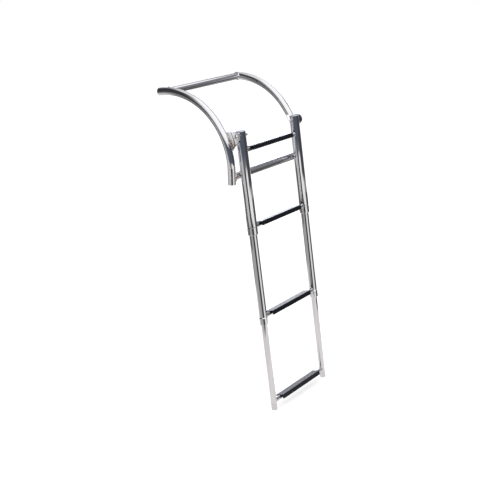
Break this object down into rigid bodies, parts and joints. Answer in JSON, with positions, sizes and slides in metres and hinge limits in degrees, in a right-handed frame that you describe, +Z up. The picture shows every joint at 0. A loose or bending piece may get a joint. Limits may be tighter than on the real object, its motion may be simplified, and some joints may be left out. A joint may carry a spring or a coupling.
{
  "type": "boat boarding ladder",
  "caption": "Telescopic stainless boarding ladder: curved arms hook over a gunwale, a hinged upper frame holds two sliding sections with treaded rungs.",
  "frame": {"origin": "centre of the two arm bends, midway between the arms, where the axis of the boat side tube lies", "axes": "+X along the rungs, +Y towards the boat, +Z up along the stiles"},
  "size_m": [0.395, 0.2855, 1.0615],
  "materials": {
    "arm_tubes": "mirror polished stainless steel",
    "cross_tubes": "mirror polished stainless steel",
    "end_plugs": "mirror polished stainless steel",
    "hinge_lugs": "mirror polished stainless steel",
    "hinge_pins": "mirror polished stainless steel",
    "upper_stiles": "mirror polished stainless steel",
    "middle_stiles": "mirror polished stainless steel",
    "lower_stiles": "mirror polished stainless steel",
    "collars": "mirror polished stainless steel",
    "rung_tubes": "mirror polished stainless steel",
    "treads": "fine-grained moulded black plastic",
    "bearing_nylon": "machined black nylon"
  },
  "bodies": {
    "arms": {"left_arm_tube": "arm_tubes", "right_arm_tube": "arm_tubes", "upper_cross_tube": "cross_tubes", "lower_cross_tube": "cross_tubes", "arm_upper_plugs": "end_plugs", "arm_lower_plugs": "end_plugs", "left_hinge_lug": "hinge_lugs", "right_hinge_lug": "hinge_lugs", "left_hinge_pin": "hinge_pins", "right_hinge_pin": "hinge_pins", "hinge_retaining_rings": "hinge_pins", "hinge_washers": "bearing_nylon"},
    "upper_section": {"left_upper_stile": "upper_stiles", "right_upper_stile": "upper_stiles", "left_stile_cap": "upper_stiles", "right_stile_cap": "upper_stiles", "hinge_sleeves": "bearing_nylon", "top_rung_tube": "rung_tubes", "top_tread": "treads", "second_rung_tube": "rung_tubes", "second_tread": "treads", "left_upper_collar": "collars", "right_upper_collar": "collars"},
    "middle_section": {"left_middle_stile": "middle_stiles", "right_middle_stile": "middle_stiles", "left_middle_glide": "bearing_nylon", "right_middle_glide": "bearing_nylon", "third_rung_tube": "rung_tubes", "third_tread": "treads", "left_middle_collar": "collars", "right_middle_collar": "collars"},
    "lower_section": {"left_lower_stile": "lower_stiles", "right_lower_stile": "lower_stiles", "left_lower_glide": "bearing_nylon", "right_lower_glide": "bearing_nylon", "bottom_rung_tube": "rung_tubes", "bottom_tread": "treads", "left_foot_plug": "lower_stiles", "right_foot_plug": "lower_stiles"}
  },
  "joints": [
    {"name": "fold", "type": "hinge", "parent": "arms", "child": "upper_section", "pos_m": [0, -0.2525, 0.076], "axis": [-1, 0, 0], "range_deg": [0, 231]},
    {"name": "middle_slide", "type": "slide", "parent": "upper_section", "child": "middle_section", "axis": [0, 0, 1], "range_m": [0, 0.25]},
    {"name": "lower_slide", "type": "slide", "parent": "middle_section", "child": "lower_section", "axis": [0, 0, 1], "range_m": [0, 0.25]}
  ]
}
